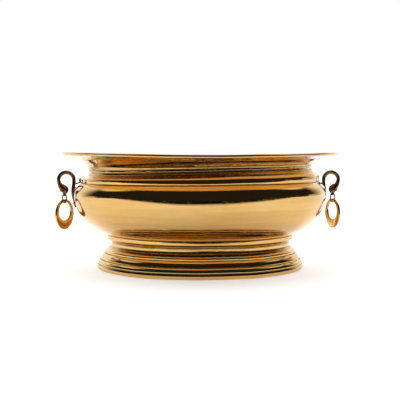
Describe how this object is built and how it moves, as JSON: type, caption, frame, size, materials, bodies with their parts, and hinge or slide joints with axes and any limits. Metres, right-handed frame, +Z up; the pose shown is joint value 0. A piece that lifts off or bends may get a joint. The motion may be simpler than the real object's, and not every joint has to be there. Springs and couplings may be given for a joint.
{
  "type": "footed urli bowl",
  "caption": "Wide round brass urli bowl with flared rim, full belly, stepped pedestal foot and swan-neck handles that carry hanging crescent rings.",
  "frame": {"origin": "centre of the foot's underside, on the bowl's axis", "axes": "+Z up along the bowl's axis; the two handles lie on the X axis, left at -X and right at +X; the front is -Y"},
  "size_m": [0.4499, 0.432, 0.179],
  "materials": {
    "polished_brass": "polished, hand-worked, lightly worn",
    "aged_brass": "dark brown patina, rubbed on its high places",
    "ring_brass": "half polished with dark patina in its hollows",
    "grey_rivet_metal": "dull, greyed by solder"
  },
  "bodies": {
    "bowl": {"rim_collar": "polished_brass", "bowl_body": "polished_brass", "foot_pedestal": "polished_brass", "swan_handle_left": "aged_brass", "upper_rivet_left": "grey_rivet_metal", "lower_rivet_left": "grey_rivet_metal", "upper_rove_left": "grey_rivet_metal", "lower_rove_left": "grey_rivet_metal", "swan_handle_right": "aged_brass", "upper_rivet_right": "grey_rivet_metal", "lower_rivet_right": "grey_rivet_metal", "upper_rove_right": "grey_rivet_metal", "lower_rove_right": "grey_rivet_metal"},
    "link_left": {"hanging_link_left": "aged_brass"},
    "ring_left": {"ring_left": "ring_brass"},
    "link_right": {"hanging_link_right": "aged_brass"},
    "ring_right": {"ring_right": "ring_brass"}
  },
  "joints": [
    {"name": "link_swing_left", "type": "hinge", "parent": "bowl", "child": "link_left", "pos_m": [-0.2127, 0, 0.11535], "axis": [0.8704, -0.4924, 0], "range_deg": [-40, 14]},
    {"name": "ring_swing_left", "type": "hinge", "parent": "link_left", "child": "ring_left", "pos_m": [-0.2127, 0, 0.10565], "axis": [0.4924, 0.8704, 0], "range_deg": [-10, 110]},
    {"name": "link_swing_right", "type": "hinge", "parent": "bowl", "child": "link_right", "pos_m": [0.2127, 0, 0.11535], "axis": [0.9681, 0.2504, 0], "range_deg": [-40, 14]},
    {"name": "ring_swing_right", "type": "hinge", "parent": "link_right", "child": "ring_right", "pos_m": [0.2127, 0, 0.10565], "axis": [0.2504, -0.9681, 0], "range_deg": [-10, 110]}
  ]
}
